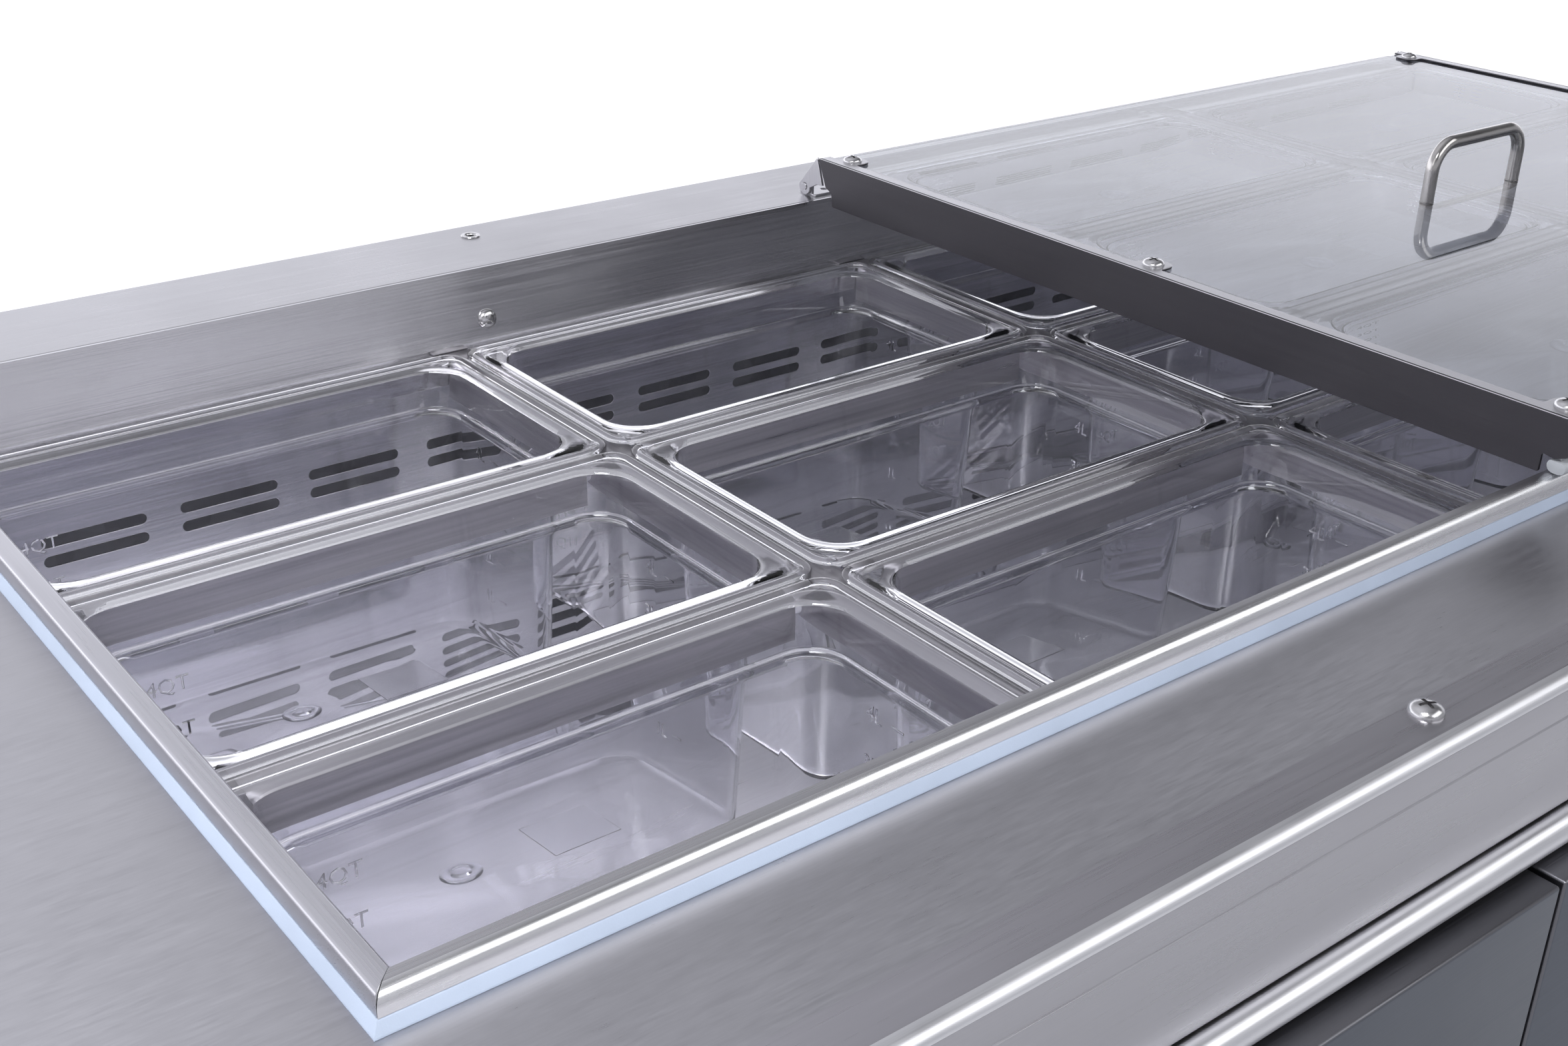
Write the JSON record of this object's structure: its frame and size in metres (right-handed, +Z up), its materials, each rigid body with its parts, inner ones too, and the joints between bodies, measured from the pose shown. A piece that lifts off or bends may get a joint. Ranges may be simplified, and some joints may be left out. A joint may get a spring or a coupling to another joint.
{
  "type": "refrigerated sandwich prep table",
  "caption": "Stainless refrigerated prep counter with a raised well of clear food pans, a hinged glass hood over half of it, doors beneath and casters.",
  "frame": {"origin": "on the floor under the centre of the footprint", "axes": "+X along the counter to the operator's right, +Y away from the operator towards the back, +Z up; the doors face -Y"},
  "size_m": [1.79, 0.78, 1.0116],
  "materials": {
    "stainless_skin": "brushed",
    "stainless_polished": "polished",
    "stainless_dark": "brushed",
    "door_skin": "brushed",
    "galvanised": "satin",
    "polycarbonate": "gloss",
    "safety_glass": "gloss",
    "blue_gasket": "satin",
    "grey_gasket": "satin",
    "coated_wire": "satin",
    "screw_steel": "polished",
    "zinc_steel": "satin",
    "wheel_polyurethane": "satin",
    "coil_aluminium": "satin",
    "black_plastic": "satin",
    "dark_plastic": "gloss",
    "compressor_paint": "satin"
  },
  "bodies": {
    "table": {"air_duct_panel": "stainless_skin", "back_ledge": "stainless_skin", "back_panel": "galvanised", "bay_partition": "galvanised", "cabinet_floor": "galvanised", "caster_plates": "zinc_steel", "compressor": "compressor_paint", "condenser": "zinc_steel", "controller": "dark_plastic", "cord_inlet": "black_plastic", "counter_deck": "stainless_skin", "covered_pans": "polycarbonate", "cross_bars": "stainless_skin", "door_frame": "stainless_skin", "evaporator_coil": "coil_aluminium", "evaporator_cover": "galvanised", "front_strip": "stainless_polished", "grille_panel": "door_skin", "hinge_brackets": "stainless_skin", "left_side_panel": "stainless_skin", "long_bars": "stainless_skin", "nose_rail": "stainless_polished", "right_side_panel": "stainless_skin", "rim_frame": "stainless_polished", "rim_gasket": "blue_gasket", "well_liner": "stainless_skin", "wire_shelves": "coated_wire", "worktop_fasteners": "screw_steel"},
    "hood": {"hood_glass": "safety_glass", "hood_end_left": "stainless_dark", "hood_end_right": "stainless_dark", "hood_feet": "stainless_skin", "hood_screws": "screw_steel", "hood_handle": "stainless_polished", "hood_front_rail": "stainless_skin", "hood_seal": "grey_gasket"},
    "door_1": {"door_1": "door_skin", "door_gasket_1": "grey_gasket"},
    "door_2": {"door_2": "door_skin", "door_gasket_2": "grey_gasket"},
    "door_3": {"door_3": "door_skin", "door_gasket_3": "grey_gasket"},
    "pan_a1": {"pan_a1": "polycarbonate"},
    "pan_b1": {"pan_b1": "polycarbonate"},
    "pan_c1": {"pan_c1": "polycarbonate"},
    "pan_a2": {"pan_a2": "polycarbonate"},
    "pan_b2": {"pan_b2": "polycarbonate"},
    "pan_c2": {"pan_c2": "polycarbonate"},
    "caster_1": {"caster_fork_1": "zinc_steel"},
    "wheel_1": {"caster_wheel_1": "wheel_polyurethane"},
    "caster_2": {"caster_fork_2": "zinc_steel"},
    "wheel_2": {"caster_wheel_2": "wheel_polyurethane"},
    "caster_3": {"caster_fork_3": "zinc_steel"},
    "wheel_3": {"caster_wheel_3": "wheel_polyurethane"},
    "caster_4": {"caster_fork_4": "zinc_steel"},
    "wheel_4": {"caster_wheel_4": "wheel_polyurethane"},
    "evaporator_fan": {"evaporator_fan": "black_plastic"},
    "condenser_fan": {"condenser_fan": "coil_aluminium"},
    "button_down": {"button_down": "black_plastic"},
    "button_up": {"button_up": "black_plastic"}
  },
  "joints": [
    {"name": "hood_hinge", "type": "hinge", "parent": "table", "child": "hood", "pos_m": [0, 0.3225, 0.947], "axis": [-1, 0, 0], "range_deg": [0, 100]},
    {"name": "door_1_hinge", "type": "hinge", "parent": "table", "child": "door_1", "pos_m": [-0.502, -0.384, 0.5], "axis": [0, 0, -1], "range_deg": [0, 90]},
    {"name": "door_2_hinge", "type": "hinge", "parent": "table", "child": "door_2", "pos_m": [0.398, -0.384, 0.5], "axis": [0, 0, 1], "range_deg": [0, 90]},
    {"name": "door_3_hinge", "type": "hinge", "parent": "table", "child": "door_3", "pos_m": [0.858, -0.384, 0.5], "axis": [0, 0, 1], "range_deg": [0, 90]},
    {"name": "pan_a1_lift", "type": "slide", "parent": "table", "child": "pan_a1", "axis": [0, 0, 1], "range_m": [0, 0.2]},
    {"name": "pan_b1_lift", "type": "slide", "parent": "table", "child": "pan_b1", "axis": [0, 0, 1], "range_m": [0, 0.2]},
    {"name": "pan_c1_lift", "type": "slide", "parent": "table", "child": "pan_c1", "axis": [0, 0, 1], "range_m": [0, 0.2]},
    {"name": "pan_a2_lift", "type": "slide", "parent": "table", "child": "pan_a2", "axis": [0, 0, 1], "range_m": [0, 0.035]},
    {"name": "pan_b2_lift", "type": "slide", "parent": "table", "child": "pan_b2", "axis": [0, 0, 1], "range_m": [0, 0.035]},
    {"name": "pan_c2_lift", "type": "slide", "parent": "table", "child": "pan_c2", "axis": [0, 0, 1], "range_m": [0, 0.035]},
    {"name": "caster_1_swivel", "type": "hinge", "parent": "table", "child": "caster_1", "pos_m": [-0.82, -0.29, 0.13], "axis": [0, 0, 1], "continuous": true},
    {"name": "wheel_1_roll", "type": "hinge", "parent": "caster_1", "child": "wheel_1", "pos_m": [-0.82, -0.255, 0.05], "axis": [1, 0, 0], "continuous": true},
    {"name": "caster_2_swivel", "type": "hinge", "parent": "table", "child": "caster_2", "pos_m": [0.82, -0.29, 0.13], "axis": [0, 0, 1], "continuous": true},
    {"name": "wheel_2_roll", "type": "hinge", "parent": "caster_2", "child": "wheel_2", "pos_m": [0.82, -0.255, 0.05], "axis": [1, 0, 0], "continuous": true},
    {"name": "caster_3_swivel", "type": "hinge", "parent": "table", "child": "caster_3", "pos_m": [-0.82, 0.3, 0.13], "axis": [0, 0, 1], "continuous": true},
    {"name": "wheel_3_roll", "type": "hinge", "parent": "caster_3", "child": "wheel_3", "pos_m": [-0.82, 0.335, 0.05], "axis": [1, 0, 0], "continuous": true},
    {"name": "caster_4_swivel", "type": "hinge", "parent": "table", "child": "caster_4", "pos_m": [0.82, 0.3, 0.13], "axis": [0, 0, 1], "continuous": true},
    {"name": "wheel_4_roll", "type": "hinge", "parent": "caster_4", "child": "wheel_4", "pos_m": [0.82, 0.335, 0.05], "axis": [1, 0, 0], "continuous": true},
    {"name": "evaporator_fan_spin", "type": "hinge", "parent": "table", "child": "evaporator_fan", "pos_m": [-0.31, 0.278, 0.56], "axis": [0, 1, 0], "continuous": true},
    {"name": "condenser_fan_spin", "type": "hinge", "parent": "table", "child": "condenser_fan", "pos_m": [-0.722, -0.283, 0.325], "axis": [0, 1, 0], "continuous": true},
    {"name": "button_down_press", "type": "slide", "parent": "table", "child": "button_down", "axis": [0, 1, 0], "range_m": [0, 0.0015], "stiffness_N_per_m": 400},
    {"name": "button_up_press", "type": "slide", "parent": "table", "child": "button_up", "axis": [0, 1, 0], "range_m": [0, 0.0015], "stiffness_N_per_m": 400}
  ]
}
